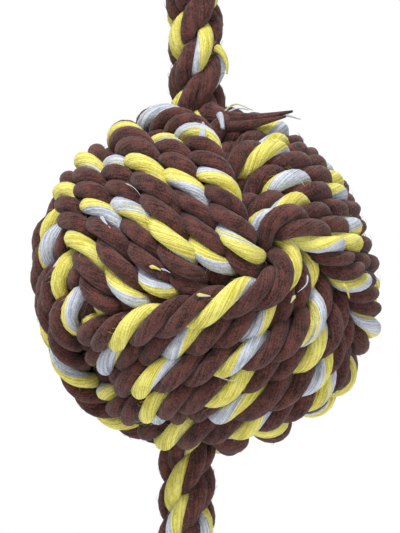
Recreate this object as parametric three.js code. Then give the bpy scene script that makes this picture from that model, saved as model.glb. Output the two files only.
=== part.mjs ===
// Rope dog toy: one thick laid rope, knotted and frayed at both ends, with a ball on its middle.
// The ball is a monkey's fist: one thinner rope wound in three crossing bands round a core.
// Millimetres, +Z up. The toy hangs from its upper knot, which is where the frame's origin lies.
// Every turn, knot and tassel is worked out here from the sizes below.

import * as THREE from "three";

// Driving dimensions of the ropes.
const MAIN_ROPE_DIAMETER = 14.5;
const BALL_ROPE_DIAMETER = 7.2;
const TOUCH_GAP = 0.3; // clearance between two pieces that touch
const TURN_GAP = 0.5; // clearance that the ball's turns are drawn up to
const KNOT_GAP = 0.8; // clearance that a knot's strands are drawn up to

// The ball.
const BALL_RADIUS = 44.8; // to the outside of the outer turns
const TURNS_PER_BAND = 6;
const BULGE_SHARE = 1.031; // of the ball's radius: the farthest that a turn is pushed out by others
const BORE_CLEARANCE = 0.6; // round the main rope, inside the core
const BALL_TILT_DEGREES = -14.9; // how the ball sits on the rope: nod, roll, then turn
const BALL_ROLL_DEGREES = 16.1;
const BALL_TURN_DEGREES = 18.7;

// The main rope's line past the ball's centre.
const UPPER_HINGE = new THREE.Vector3(-2.6, 0, 59);
const LOWER_HINGE = new THREE.Vector3(-5.6, 0, -59);
const UPPER_LEAN_DEGREES = -5.5; // the upper tail leans to the left as it rises
const NECK_LENGTH = 26; // the stretch that bends beside the ball
const TAIL_LENGTH = 16; // from the neck to the knot
const KNOT_HEIGHT = 56; // an overhand knot, along the rope
const KNOT_LOOP_WIDTH = 26; // of the loop, before it is drawn tight
const KNOT_LEAD_STEP = 5; // between the nodes of the straight rope at a knot's two ends
const TASSEL_LENGTH = 56;
const TASSEL_TIP_DIAMETER = 34;
const TASSEL_FLUTE_DEPTH = 1.6;
const TASSEL_TIP_STAGGER = 3; // how far the cut yarns end apart

// Counts.
const LOOP_STEPS = 24;
const LOOP_SIDES = 6;
const KNOT_STEPS = 24;
const KNOT_LEADS = 3;
const KNOT_SIDES = 8;
const ROPE_SIDES = 12;
const NECK_STEPS = 4;
const CORE_SIDES = 28;
const CORE_RINGS = 16;
const TASSEL_FLUTES = 9;
const TASSEL_STEPS_PER_FLUTE = 4;
const TASSEL_RINGS = 8;
const TASSEL_CUT_WAVES = 4;

// How the ball's turns are laid before they are drawn tight, as shares and angles.
const LIFT_SHARE = 0.62; // of a turn's pitch: how far an outer run starts above the middle, an inner one below
const SINK_SHARE = 0.39; // of a turn's pitch: how far the inner runs may press into the filling
const CREST_SHARPNESS = 1.6; // how quickly a turn changes from outer to inner
const CORNER_LEAD_DEGREES = 20; // where a band ends, short of the corner that it turns at
const CORNER_DEPTH_SHARE = 0.97; // of the outer radius
const STEP_WIDTH_DEGREES = 80; // the stretch of each turn in which it moves one pitch over
const HIDDEN_CORNER = 225; // the angle in a band at which it meets the hidden corner at the back
const LEFT_CORNER = 135; // the angle in the last band of the corner that it starts from
const FIRST_START = 270; // both free ends lie at the back, under the turns that cross them
const LAST_END = 90;
const FULL_TURN = 360;
const KNOT_SPAN_SHARE = 2.05; // how far the knot's curve is followed to both sides of its middle
const KNOT_RISE_SHARE = 1 / 15; // of half the knot's height, for each unit that its curve rises
const RIGHT_FACE = 1 / 12; // where the three front faces lie round the view, as shares of a full turn
const LEFT_FACE = 5 / 12;
const LOWER_FACE = 9 / 12;

// How strands are drawn tight.
const BALL_DRAW_ROUNDS = 150;
const KNOT_DRAW_ROUNDS = 700;
const BALL_SETTLE_ROUNDS = 300; // rounds that only push, after the drawing
const KNOT_SETTLE_ROUNDS = 60;
const ARRIVE_ROUNDS = 110; // in which what the strand goes round comes to its place
const DRAW_SHARE = 0.25; // of the way to a straight line, in each round
const PUSHES_PER_ROUND = 2;
const BALL_NEAR_STEPS = 3; // neighbours along the strand that may touch
const KNOT_NEAR_STEPS = 4;

const HEMP_BROWN = "#57383a";
const COTTON_YELLOW = "#e9e04a";
const CORE_TAN = "#b08d62";
const COTTON_ROUGHNESS = 0.95;
const CORE_ROUGHNESS = 0.85;

const UP = new THREE.Vector3(0, 0, 1);
const SIDEWAYS_HINGE = new THREE.Vector3(0, 1, 0);
const { degToRad, clamp, smoothstep } = THREE.MathUtils;
const mainRadius = MAIN_ROPE_DIAMETER / 2;
const ballRopeRadius = BALL_ROPE_DIAMETER / 2;
const pitch = BALL_ROPE_DIAMETER + TURN_GAP;
const outerRunRadius = BALL_RADIUS - ballRopeRadius;
const innerRunRadius = outerRunRadius - pitch;
const fillingReach = innerRunRadius - SINK_SHARE * pitch; // how near the rope's line comes to the middle
const coreRadius = fillingReach - ballRopeRadius - TURN_GAP;
const bulgeReach = BALL_RADIUS * BULGE_SHARE - ballRopeRadius; // and how far from it
const throughLine = UPPER_HINGE.clone().sub(LOWER_HINGE).normalize();
const upperLine = UP.clone().applyAxisAngle(SIDEWAYS_HINGE, degToRad(UPPER_LEAN_DEGREES));
const lowerLine = UP.clone().negate();
const tailStart = NECK_LENGTH / 2 + TOUCH_GAP; // these three from a hinge, along the rope
const knotStart = tailStart + TAIL_LENGTH + TOUCH_GAP;
const tasselStart = knotStart + KNOT_HEIGHT + TOUCH_GAP;
const beyondNeck = knotStart; // how far past a hinge the main rope keeps the ball's turns off

const TINY = 1e-9;

const ballFacing = new THREE.Euler(
  degToRad(BALL_TILT_DEGREES),
  degToRad(BALL_ROLL_DEGREES),
  degToRad(BALL_TURN_DEGREES),
  "YZX",
);

/** The middle of one of the three faces round the ball's front corner, as a direction. */
function faceAxis(shareRound) {
  const angle = shareRound * 2 * Math.PI;
  const forward = Math.sqrt(1 / 3);
  const across = Math.sqrt(2 / 3);
  return new THREE.Vector3(across * Math.cos(angle), -forward, across * Math.sin(angle)).applyEuler(ballFacing);
}

/**
 * The line of one band's turns, laid side by side round the axis "side".
 * They run on the outside where they cross "over" and on the inside where they cross "under".
 */
function bandRoute({ side, over, under, from, to, corner, sense }) {
  const direction = Math.sign(to - from);
  const steps = Math.round((Math.abs(to - from) / FULL_TURN) * LOOP_STEPS);
  const middleRadius = (outerRunRadius + innerRunRadius) / 2;
  return Array.from({ length: steps + 1 }, (_, i) => {
    const degrees = from + ((to - from) * i) / steps;
    let turnsOver = -(TURNS_PER_BAND - 1) / 2;
    for (let turn = 1; turn < TURNS_PER_BAND; turn += 1) {
      const past = direction * (degrees - corner) - FULL_TURN * turn;
      turnsOver += smoothstep(past / STEP_WIDTH_DEGREES + 1 / 2, 0, 1);
    }
    const offset = sense * turnsOver * pitch;
    const angle = degToRad(degrees);
    const crest = Math.tanh(CREST_SHARPNESS * Math.cos(2 * angle)) / Math.tanh(CREST_SHARPNESS);
    const reach = middleRadius + LIFT_SHARE * pitch * crest;
    const radius = Math.sqrt(reach * reach - offset * offset);
    return new THREE.Vector3()
      .addScaledVector(side, offset)
      .addScaledVector(over, radius * Math.cos(angle))
      .addScaledVector(under, radius * Math.sin(angle));
  });
}

/** The whole winding as one line: three bands, joined at two corners at the back of the ball. */
function windingRoute() {
  const left = faceAxis(LEFT_FACE);
  const right = faceAxis(RIGHT_FACE);
  const down = faceAxis(LOWER_FACE);
  const turns = FULL_TURN * TURNS_PER_BAND;
  const cornerRadius = CORNER_DEPTH_SHARE * outerRunRadius;
  const backCorner = new THREE.Vector3().sub(left).sub(right).sub(down).setLength(cornerRadius);
  const leftCorner = left.clone().sub(right).sub(down).setLength(cornerRadius);
  const first = bandRoute({
    side: right,
    over: left,
    under: down,
    from: FIRST_START,
    to: HIDDEN_CORNER - CORNER_LEAD_DEGREES + turns,
    corner: HIDDEN_CORNER,
    sense: -1,
  });
  const second = bandRoute({
    side: left,
    over: down,
    under: right,
    from: HIDDEN_CORNER - CORNER_LEAD_DEGREES,
    to: HIDDEN_CORNER + CORNER_LEAD_DEGREES - turns,
    corner: HIDDEN_CORNER,
    sense: 1,
  });
  const third = bandRoute({
    side: down,
    over: right,
    under: left,
    from: LEFT_CORNER + CORNER_LEAD_DEGREES,
    to: LAST_END + turns,
    corner: LEFT_CORNER,
    sense: 1,
  });
  const nodes = [...first, backCorner, ...second, leftCorner, ...third];
  return { nodes, held: new Set([first.length, first.length + 1 + second.length]) };
}

const along = new THREE.Vector3();
const across = new THREE.Vector3();
const between = new THREE.Vector3();

/** How far along segments ab and cd, as shares, the points lie where they come closest. */
function closestShares(a, b, c, d) {
  along.subVectors(b, a);
  across.subVectors(d, c);
  between.subVectors(a, c);
  const aa = along.lengthSq();
  const cc = across.lengthSq();
  const ac = along.dot(across);
  const ab = along.dot(between);
  const cb = across.dot(between);
  const spread = aa * cc - ac * ac;
  const onFirst = spread > TINY ? clamp((ac * cb - ab * cc) / spread, 0, 1) : 1 / 2;
  const onSecond = cc > TINY ? (ac * onFirst + cb) / cc : 0;
  if (onSecond < 0 || cc <= TINY) {
    return [clamp(-ab / aa, 0, 1), 0];
  }
  if (onSecond > 1) {
    return [clamp((ac - ab) / aa, 0, 1), 1];
  }
  return [onFirst, onSecond];
}

const onA = new THREE.Vector3();
const onB = new THREE.Vector3();

/** Pushes two segments apart until they are "need" apart; each moving node takes its share of the push. */
function pushApart(a, b, c, d, moving, need) {
  const [first, second] = closestShares(a, b, c, d);
  onA.lerpVectors(a, b, first);
  onB.lerpVectors(c, d, second);
  const apart = onA.distanceTo(onB);
  if (apart >= need || apart < TINY) {
    return;
  }
  const weights = [1 - first, first, second - 1, -second];
  const total = weights.reduce((sum, weight, k) => sum + (moving[k] ? weight * weight : 0), 0);
  if (total < TINY) {
    return;
  }
  onA.sub(onB).multiplyScalar((need - apart) / (apart * total));
  [a, b, c, d].forEach((node, k) => {
    if (moving[k]) {
      node.addScaledVector(onA, weights[k]);
    }
  });
}

/**
 * Draws a strand tight: it straightens where it can, lies clear of itself and of the obstacles, which
 * come to their places as "arrived" goes from 0 to 1, and stays within "within" of the middle.
 */
function drawTight({ nodes, held, need, rounds, settleRounds, nearSteps, within, obstaclesAt }) {
  const last = nodes.length - 1;
  const reach = need + nodes[0].distanceTo(nodes[1]) * 2;
  const moves = (i) => !held.has(i);
  for (let round = 0; round < rounds + settleRounds; round += 1) {
    const before = nodes.map((node) => node.clone());
    const obstacles = obstaclesAt(Math.min(round / ARRIVE_ROUNDS, 1));
    for (let i = 1; round < rounds && i < last; i += 1) {
      if (moves(i)) {
        onA.addVectors(before[i - 1], before[i + 1]).multiplyScalar(1 / 2);
        nodes[i].lerp(onA, DRAW_SHARE);
      }
    }
    for (let push = 0; push < PUSHES_PER_ROUND; push += 1) {
      nodes.filter((_, i) => moves(i)).forEach((node) => node.clampLength(0, within));
      for (let i = 0; i < last; i += 1) {
        for (let j = i + nearSteps; j < last; j += 1) {
          if (nodes[i].distanceTo(nodes[j]) < reach) {
            const moving = [moves(i), moves(i + 1), moves(j), moves(j + 1)];
            pushApart(nodes[i], nodes[i + 1], nodes[j], nodes[j + 1], moving, need);
          }
        }
        for (const { from, to, clear } of obstacles) {
          pushApart(nodes[i], nodes[i + 1], from, to, [moves(i), moves(i + 1), false, false], clear);
        }
      }
    }
  }
}

/** The least clear gap between any two stretches of a strand that aren't neighbours. */
function leastGap(nodes, diameter, nearSteps) {
  let least = Infinity;
  for (let i = 0; i + 1 < nodes.length; i += 1) {
    for (let j = i + nearSteps; j + 1 < nodes.length; j += 1) {
      const [first, second] = closestShares(nodes[i], nodes[i + 1], nodes[j], nodes[j + 1]);
      onA.lerpVectors(nodes[i], nodes[i + 1], first);
      onB.lerpVectors(nodes[j], nodes[j + 1], second);
      least = Math.min(least, onA.distanceTo(onB) - diameter);
    }
  }
  return least;
}

/**
 * A closed solid through rings of equally many points. Its first and last ring are closed by fans,
 * or joined to each other when it is "looped".
 */
function loft(rings, looped = false) {
  const sides = rings[0].length;
  const points = rings.flat();
  const faces = [];
  const spans = looped ? rings.length : rings.length - 1;
  for (let i = 0; i < spans; i += 1) {
    const here = i * sides;
    const next = ((i + 1) % rings.length) * sides;
    for (let side = 0; side < sides; side += 1) {
      const beside = (side + 1) % sides;
      faces.push(here + side, here + beside, next + beside, here + side, next + beside, next + side);
    }
  }
  if (!looped) {
    const first = points.length;
    const last = spans * sides;
    points.push(middleOf(rings[0]), middleOf(rings[spans]));
    for (let side = 0; side < sides; side += 1) {
      const beside = (side + 1) % sides;
      faces.push(first, beside, side, first + 1, last + side, last + beside);
    }
  }
  const solid = new THREE.BufferGeometry().setFromPoints(points);
  solid.setIndex(faces);
  solid.computeVertexNormals();
  return solid;
}

function middleOf(ring) {
  return ring.reduce((sum, point) => sum.add(point), new THREE.Vector3()).divideScalar(ring.length);
}

/** A closed round tube along a line of nodes, with flat ends. */
function ropeTube(nodes, radius, sides) {
  const tangent = new THREE.Vector3();
  const normal = new THREE.Vector3();
  const binormal = new THREE.Vector3();
  const last = nodes.length - 1;
  return loft(
    nodes.map((node, i) => {
      tangent.subVectors(nodes[Math.min(i + 1, last)], nodes[Math.max(i - 1, 0)]).normalize();
      if (i === 0) {
        normal.set(tangent.z, tangent.x, tangent.y);
      }
      normal.addScaledVector(tangent, -normal.dot(tangent)).normalize();
      binormal.crossVectors(tangent, normal);
      return Array.from({ length: sides }, (_, side) => {
        const angle = (side / sides) * 2 * Math.PI;
        return node
          .clone()
          .addScaledVector(normal, radius * Math.cos(angle))
          .addScaledVector(binormal, radius * Math.sin(angle));
      });
    }),
  );
}

/** The point "distance" along a line from one of the hinges. */
function pointOn(hinge, line, distance) {
  return hinge.clone().addScaledVector(line, distance);
}

/** A solid that was built upward from the origin, set on a line of the rope. */
function setOn(solid, hinge, line, distance) {
  return solid
    .applyQuaternion(new THREE.Quaternion().setFromUnitVectors(UP, line))
    .translate(...pointOn(hinge, line, distance).toArray());
}

/** The ball's rope: laid in bands, then drawn tight round the core and the main rope. */
function windingNodes() {
  const { nodes, held } = windingRoute();
  const clear = mainRadius + ballRopeRadius + TURN_GAP;
  const middle = new THREE.Vector3();
  const cornerLine = faceAxis(LEFT_FACE).add(faceAxis(RIGHT_FACE)).sub(faceAxis(LOWER_FACE));
  const upperCorner = cornerLine.clone().setLength(UPPER_HINGE.length());
  const lowerCorner = cornerLine.clone().setLength(LOWER_HINGE.length()).negate();
  const obstaclesAt = (arrived) => {
    const upper = upperCorner.clone().lerp(UPPER_HINGE, arrived);
    const lower = lowerCorner.clone().lerp(LOWER_HINGE, arrived);
    return [
      { from: middle, to: middle, clear: fillingReach },
      { from: lower, to: upper, clear },
      { from: upper, to: pointOn(upper, upperLine, beyondNeck), clear },
      { from: lower, to: pointOn(lower, lowerLine, beyondNeck), clear },
    ];
  };
  drawTight({
    nodes,
    held,
    need: pitch,
    rounds: BALL_DRAW_ROUNDS,
    settleRounds: BALL_SETTLE_ROUNDS,
    nearSteps: BALL_NEAR_STEPS,
    within: bulgeReach,
    obstaclesAt,
  });
  return nodes;
}

/** An overhand knot that stands on the origin, with straight rope at both its ends. */
function knotNodes() {
  const half = KNOT_HEIGHT / 2;
  const bends = Array.from({ length: KNOT_STEPS }, (_, i) => {
    const t = KNOT_SPAN_SHARE * (-1 + (2 * i) / (KNOT_STEPS - 1));
    return new THREE.Vector3(
      ((t ** 3 - 3 * t) * KNOT_LOOP_WIDTH) / 4,
      ((t ** 4 - 4 * t * t + 2) * KNOT_LOOP_WIDTH) / 4,
      (t ** 5 - 10 * t) * half * KNOT_RISE_SHARE,
    );
  });
  const leads = Array.from({ length: KNOT_LEADS }, (_, i) => half - i * KNOT_LEAD_STEP);
  const nodes = [
    ...leads.map((height) => new THREE.Vector3(0, 0, -height)),
    ...bends,
    ...leads.reverse().map((height) => new THREE.Vector3(0, 0, height)),
  ];
  const held = new Set(leads.flatMap((_, i) => [i, nodes.length - 1 - i]));
  drawTight({
    nodes,
    held,
    need: MAIN_ROPE_DIAMETER + KNOT_GAP,
    rounds: KNOT_DRAW_ROUNDS,
    settleRounds: KNOT_SETTLE_ROUNDS,
    nearSteps: KNOT_NEAR_STEPS,
    within: KNOT_HEIGHT,
    obstaclesAt: () => [],
  });
  return nodes.map((node) => node.add(new THREE.Vector3(0, 0, half)));
}

/** The core: a ball with a bore for the main rope, which passes a little beside its middle. */
function coreSolid() {
  const boreRadius = mainRadius + BORE_CLEARANCE;
  const middle = new THREE.Vector3();
  const bore = new THREE.Line3(LOWER_HINGE, UPPER_HINGE);
  const onBore = bore.closestPointToPoint(middle, false, new THREE.Vector3());
  const beside = onBore.length();
  const sideways = onBore.clone().negate().normalize();
  const forward = new THREE.Vector3().crossVectors(throughLine, sideways);
  const half = Math.sqrt(coreRadius ** 2 - (boreRadius + beside) ** 2);
  const ringAt = (height, radiusAt) =>
    Array.from({ length: CORE_SIDES }, (_, side) => {
      const angle = (side / CORE_SIDES) * 2 * Math.PI;
      const radius = radiusAt(angle);
      return pointOn(onBore, throughLine, height)
        .addScaledVector(sideways, radius * Math.cos(angle))
        .addScaledVector(forward, radius * Math.sin(angle));
    });
  const outside = Array.from({ length: CORE_RINGS + 1 }, (_, i) => {
    const height = -half * Math.cos((i / CORE_RINGS) * Math.PI);
    return ringAt(height, (angle) => {
      const across = beside * Math.sin(angle);
      return beside * Math.cos(angle) + Math.sqrt(coreRadius ** 2 - height ** 2 - across ** 2);
    });
  });
  return loft([...outside, ringAt(half, () => boreRadius), ringAt(-half, () => boreRadius)], true);
}

/** Straight rope, built upward from the origin. */
function straightRope(length) {
  return new THREE.CylinderGeometry(mainRadius, mainRadius, length, ROPE_SIDES)
    .rotateX(Math.PI / 2)
    .translate(0, 0, length / 2);
}

/** The stretch beside the ball, which bends from one line to another at its hinge. */
function neckSolid(hinge, inwardLine, outwardLine) {
  const bend = new THREE.QuadraticBezierCurve3(
    pointOn(hinge, inwardLine, NECK_LENGTH / 2),
    hinge.clone(),
    pointOn(hinge, outwardLine, NECK_LENGTH / 2),
  );
  return ropeTube(bend.getPoints(NECK_STEPS), mainRadius, ROPE_SIDES);
}

/** A frayed end: fluted, wider toward its tip, and cut unevenly. It stands on the origin. */
function tasselSolid() {
  const sides = TASSEL_FLUTES * TASSEL_STEPS_PER_FLUTE;
  return loft(
    Array.from({ length: TASSEL_RINGS + 1 }, (_, i) => {
      const share = i / TASSEL_RINGS;
      const spread = smoothstep(share, 0, 1);
      const radius = mainRadius + (TASSEL_TIP_DIAMETER / 2 - mainRadius) * spread;
      return Array.from({ length: sides }, (_, side) => {
        const angle = (side / sides) * 2 * Math.PI;
        const flute = (1 - Math.cos(TASSEL_FLUTES * angle)) / 2;
        const reach = radius - TASSEL_FLUTE_DEPTH * flute * spread;
        const cut = (TASSEL_TIP_STAGGER * (1 - Math.sin(TASSEL_CUT_WAVES * angle)) * share) / 2;
        return new THREE.Vector3(reach * Math.cos(angle), reach * Math.sin(angle), TASSEL_LENGTH * share - cut);
      });
    }),
  );
}

const ballLine = windingNodes();
const knotLine = knotNodes();
const hangPoint = pointOn(UPPER_HINGE, upperLine, knotStart + KNOT_HEIGHT / 2);
const downLine = throughLine.clone().negate();
const throughLength = UPPER_HINGE.distanceTo(LOWER_HINGE) - NECK_LENGTH - 2 * TOUCH_GAP;

const brownCotton = { color: HEMP_BROWN, roughness: COTTON_ROUGHNESS };
const yellowCotton = { color: COTTON_YELLOW, roughness: COTTON_ROUGHNESS };
const coreFinish = { color: CORE_TAN, roughness: CORE_ROUGHNESS };

const toy = new THREE.Group();
toy.name = "rope_dog_toy";

function addPiece(name, solid, finish) {
  solid.translate(-hangPoint.x, -hangPoint.y, -hangPoint.z);
  const piece = new THREE.Mesh(solid, new THREE.MeshStandardMaterial({ ...finish, metalness: 0 }));
  piece.name = name;
  toy.add(piece);
}

/** The tail, knot and frayed end on one side of the ball. */
function addEnd(side, hinge, line, inwardLine) {
  addPiece(`${side}_neck`, neckSolid(hinge, inwardLine, line), brownCotton);
  addPiece(`${side}_tail`, setOn(straightRope(TAIL_LENGTH), hinge, line, tailStart), brownCotton);
  addPiece(`${side}_knot`, setOn(ropeTube(knotLine, mainRadius, KNOT_SIDES), hinge, line, knotStart), brownCotton);
  addPiece(`${side}_tassel`, setOn(tasselSolid(), hinge, line, tasselStart), yellowCotton);
}

addPiece("core_ball", coreSolid(), coreFinish);
addPiece("ball_winding", ropeTube(ballLine, ballRopeRadius, LOOP_SIDES), brownCotton);
addPiece(
  "through_rope",
  setOn(straightRope(throughLength), LOWER_HINGE, throughLine, NECK_LENGTH / 2 + TOUCH_GAP),
  brownCotton,
);
addEnd("upper", UPPER_HINGE, upperLine, downLine);
addEnd("lower", LOWER_HINGE, lowerLine, throughLine);

const ballGap = leastGap(ballLine, BALL_ROPE_DIAMETER, BALL_NEAR_STEPS);
const knotGap = leastGap(knotLine, MAIN_ROPE_DIAMETER, KNOT_NEAR_STEPS);
const report = (hinge) => hinge.clone().sub(hangPoint).toArray().join(", ");
console.log(`ball_winding: least gap to itself ${ballGap.toFixed(2)} mm`);
console.log(`upper_knot, lower_knot: least gap to itself ${knotGap.toFixed(2)} mm`);
console.log(`upper hinge at ${report(UPPER_HINGE)}; lower hinge at ${report(LOWER_HINGE)}`);

export default toy;
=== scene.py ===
"""Rope dog toy: a thick laid rope with a wound rope ball on its middle, dressed for the studio.

Everything is in millimetres from the ball's middle while it is worked out, and is moved to the
frame's own place, in metres, when its mesh is made.
"""

import logging
import math
from dataclasses import dataclass, field, replace
from enum import Enum

import bpy
import numpy as np
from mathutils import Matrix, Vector

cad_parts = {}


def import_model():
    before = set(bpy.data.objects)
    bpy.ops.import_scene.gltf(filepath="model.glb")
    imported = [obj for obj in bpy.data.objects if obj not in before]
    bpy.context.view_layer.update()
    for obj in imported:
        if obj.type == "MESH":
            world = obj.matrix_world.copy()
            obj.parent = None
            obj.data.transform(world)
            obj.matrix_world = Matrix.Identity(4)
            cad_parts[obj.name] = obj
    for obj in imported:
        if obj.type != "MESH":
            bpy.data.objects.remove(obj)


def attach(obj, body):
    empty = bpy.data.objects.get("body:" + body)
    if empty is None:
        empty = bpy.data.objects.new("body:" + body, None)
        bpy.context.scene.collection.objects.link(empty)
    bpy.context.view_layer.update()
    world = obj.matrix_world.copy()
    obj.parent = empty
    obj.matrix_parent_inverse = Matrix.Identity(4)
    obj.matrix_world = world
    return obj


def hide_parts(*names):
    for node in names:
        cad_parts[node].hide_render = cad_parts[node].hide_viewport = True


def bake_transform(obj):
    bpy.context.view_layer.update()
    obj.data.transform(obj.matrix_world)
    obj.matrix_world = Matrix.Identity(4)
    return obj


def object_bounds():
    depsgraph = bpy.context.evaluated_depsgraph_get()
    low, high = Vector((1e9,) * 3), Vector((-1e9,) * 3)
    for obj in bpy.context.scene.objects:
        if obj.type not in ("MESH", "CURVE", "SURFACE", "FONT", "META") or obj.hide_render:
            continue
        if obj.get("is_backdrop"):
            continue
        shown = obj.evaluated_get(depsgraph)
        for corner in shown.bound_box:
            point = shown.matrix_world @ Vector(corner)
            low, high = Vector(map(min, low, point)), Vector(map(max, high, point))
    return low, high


# Red, green, blue and alpha, as the shader reads them.
Colour = tuple[float, float, float, float]

log = logging.getLogger("rope_toy")

# Places that the part's source settles, in millimetres from the ball's middle.
UPPER_HINGE = np.array([-2.6, 0.0, 59.0])
LOWER_HINGE = np.array([-5.6, 0.0, -59.0])
UPPER_LEAN = math.radians(-5.5)
UPPER_LINE = np.array([math.sin(UPPER_LEAN), 0.0, math.cos(UPPER_LEAN)])
LOWER_LINE = np.array([0.0, 0.0, -1.0])
THROUGH_LINE = (UPPER_HINGE - LOWER_HINGE) / np.linalg.norm(UPPER_HINGE - LOWER_HINGE)
NECK_LENGTH = 26.0
TOUCH_GAP = 0.3
TAIL_LENGTH = 16.0
KNOT_HEIGHT = 56.0
TASSEL_LENGTH = 56.0
KNOT_START = NECK_LENGTH / 2 + TOUCH_GAP + TAIL_LENGTH + TOUCH_GAP
TASSEL_START = KNOT_START + KNOT_HEIGHT + TOUCH_GAP
HANG_POINT = UPPER_HINGE + UPPER_LINE * (KNOT_START + KNOT_HEIGHT / 2)

# A millimetre in metres, a whole turn, and a length that is too short to divide by.
MM = 0.001
TURN = 2 * math.pi
TINY = 1e-12

# How a strand is pressed into its third of a rope, and how its thickness and its lay wander, in a short
# wave and a long one, each in millimetres to a radian.
STRAND_OVERLAP = 1.07
STRAND_HEART = 0.1
SECTION_POWER = 2.3
SEEN_SHARE = 0.45
STRAND_SWELL = 0.035
SWELL_WAVES = (9.7, 23.0)
SWELL_SHIFT = 2.1
LAY_WANDER = 0.22
LAY_WAVES = (8.3, 31.0)

# The short loose fibres on the cotton's surface.
HAIR_STEPS = 5
HAIR_SIDES = 3
HAIR_END_STEPS = 3
HAIR_ROOT = 0.12
HAIR_SLANT = 0.9
HAIR_LIFT = (0.05, 0.4)
HAIR_ARCH = 0.4
HAIR_RADIUS = 0.045
HAIR_TAPER = 0.6

# How far the cotton's patterns move on from one strand to another, and from streaks to their edge.
SEED_STEP = 37.0
SEED_SHIFT = 11.0
BLOTCH_SEED_STEP = 9.0

# How far along the ball's rope a yellow strand faces the camera, in millimetres.
BALL_PATCHES: tuple[int, ...] = (
    29, 88, 318, 505, 532, 774, 852, 1035, 1219, 1531, 1713, 1738, 1945, 1990, 2184, 2208, 2232, 2409,
    2636, 2665, 2690, 2914, 3363, 3600, 3834, 3915, 3940, 4039, 4068, 4091,
)

# The same for each ply of the main rope, from the end of the lower knot.
PLY_PATCHES: tuple[tuple[int, ...], ...] = (
    (40, 226, 352, 388, 412, 470),
    (40, 236, 384, 470),
    (40, 226, 387, 470),
)

# The decimals of a metre to which two corners of a solid are the same one.
WELD_DIGITS = 6

# The angles of three strands or plies round their rope, after the first one's.
THIRDS = TURN * np.arange(3) / 3


class Lay(Enum):
    """The hand in which strands are laid: the sense in which they turn round their rope."""

    S = -1.0
    Z = 1.0


class Body(Enum):
    """The moving bodies of the frame."""

    BALL = "ball"
    UPPER = "upper_end"
    LOWER = "lower_end"


class Tone(Enum):
    """What a strand is spun from, as the mesh attribute that the cotton reads."""

    BROWN = 0.0
    YELLOW = 1.0
    PALE = 0.5


STRAND_TONES = (Tone.BROWN, Tone.YELLOW, Tone.BROWN)


@dataclass(frozen=True)
class RopeEnd:
    """One end of the main rope, from the ball outwards.

    Attributes:
        body: The body past its hinge.
        hinge: The hinge, in the middle of the stretch that bends.
        inward: The rope's direction from there to the ball.
        outward: Its direction away from the ball.
    """

    body: Body
    hinge: np.ndarray
    inward: np.ndarray
    outward: np.ndarray

    @property
    def side(self) -> str:
        """Gives the first word of the names of its nodes and pieces."""
        return self.body.value.split("_")[0]

    @property
    def neck(self) -> tuple[np.ndarray, np.ndarray]:
        """Gives the two ends of the stretch that bends, the one by the ball first."""
        return self.hinge + self.inward * NECK_LENGTH / 2, self.hinge + self.outward * NECK_LENGTH / 2


UPPER_END = RopeEnd(Body.UPPER, UPPER_HINGE, -THROUGH_LINE, UPPER_LINE)
LOWER_END = RopeEnd(Body.LOWER, LOWER_HINGE, THROUGH_LINE, LOWER_LINE)


def in_frame(points: np.ndarray) -> np.ndarray:
    """Moves points from millimetres from the ball's middle to the frame, in metres."""
    return (points - HANG_POINT) * MM


def middle_line(name: str, near: np.ndarray) -> np.ndarray:
    """Finds the middle line of one of the part's round solids, from one ring of corners to the next.

    It starts from the middle of an end cap, or from a corner of an end where the caps have no middle.

    Args:
        name: The solid's node.
        near: A point by the end that the line starts from.

    Returns:
        The middles of the solid's rings, in millimetres from the ball's middle.
    """
    solid = bpy.data.objects[name]
    corners = np.array([solid.matrix_world @ vertex.co for vertex in solid.data.vertices])
    points, which = np.unique(corners.round(WELD_DIGITS), axis=0, return_inverse=True)
    points = points / MM + HANG_POINT
    beside: list[set[int]] = [set() for _ in points]
    for face in solid.data.polygons:
        loop = which.ravel()[list(face.vertices)].tolist()
        for first, second in zip(loop, loop[1:] + loop[:1]):
            beside[first].add(second)
            beside[second].add(first)
    fewest = min(len(rim) for rim in beside)
    caps = [cap for cap, rim in enumerate(beside) if all(len(beside[corner]) == fewest for corner in rim)]
    ends = caps or [corner for corner, rim in enumerate(beside) if len(rim) == fewest]
    start = min(ends, key=lambda end: float(np.linalg.norm(points[end] - near)))
    seen = {start}
    ring = beside[start]
    line = []
    while len(ring) > 1:
        line.append(points[list(ring)].mean(axis=0))
        seen |= ring
        ring = set().union(*(beside[corner] for corner in ring)) - seen
    return np.array(line)


def wander(along: np.ndarray, waves: tuple[float, float], shift: float = 0.0) -> np.ndarray:
    """Gives an uneven wave from -1 to 1 along a rope: a short one, which a long one pushes to and fro."""
    short_wave, long_wave = waves
    return np.sin(along / short_wave + shift + 2 * np.sin(along / long_wave))


def swing(first: np.ndarray, second: np.ndarray, angle: np.ndarray) -> np.ndarray:
    """Turns directions by angles, towards others that are square to them."""
    return first * np.cos(angle)[..., None] + second * np.sin(angle)[..., None]


def placed(name: str, data: bpy.types.ID) -> bpy.types.Object:
    """Makes an object and links it to the scene.

    Args:
        name: Its name.
        data: Its mesh, lamp or camera.

    Returns:
        The object.
    """
    item = bpy.data.objects.new(name, data)
    bpy.context.scene.collection.objects.link(item)
    return item


def unit(vectors: np.ndarray) -> np.ndarray:
    """Scales vectors, whose last axis is x, y and z, to a length of one."""
    return vectors / np.maximum(np.linalg.norm(vectors, axis=-1, keepdims=True), TINY)


def even_steps(line: np.ndarray, step: float) -> np.ndarray:
    """Sets points along a line at even steps.

    Args:
        line: The line's points.
        step: The wanted distance between points, which is rounded to fit.

    Returns:
        Points at even steps, with both ends kept.
    """
    along = np.concatenate([[0.0], np.cumsum(np.linalg.norm(np.diff(line, axis=0), axis=1))])
    count = max(int(round(along[-1] / step)), 2)
    wanted = np.linspace(0.0, along[-1], count + 1)
    return np.stack([np.interp(wanted, along, line[:, axis]) for axis in range(3)], axis=1)


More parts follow.
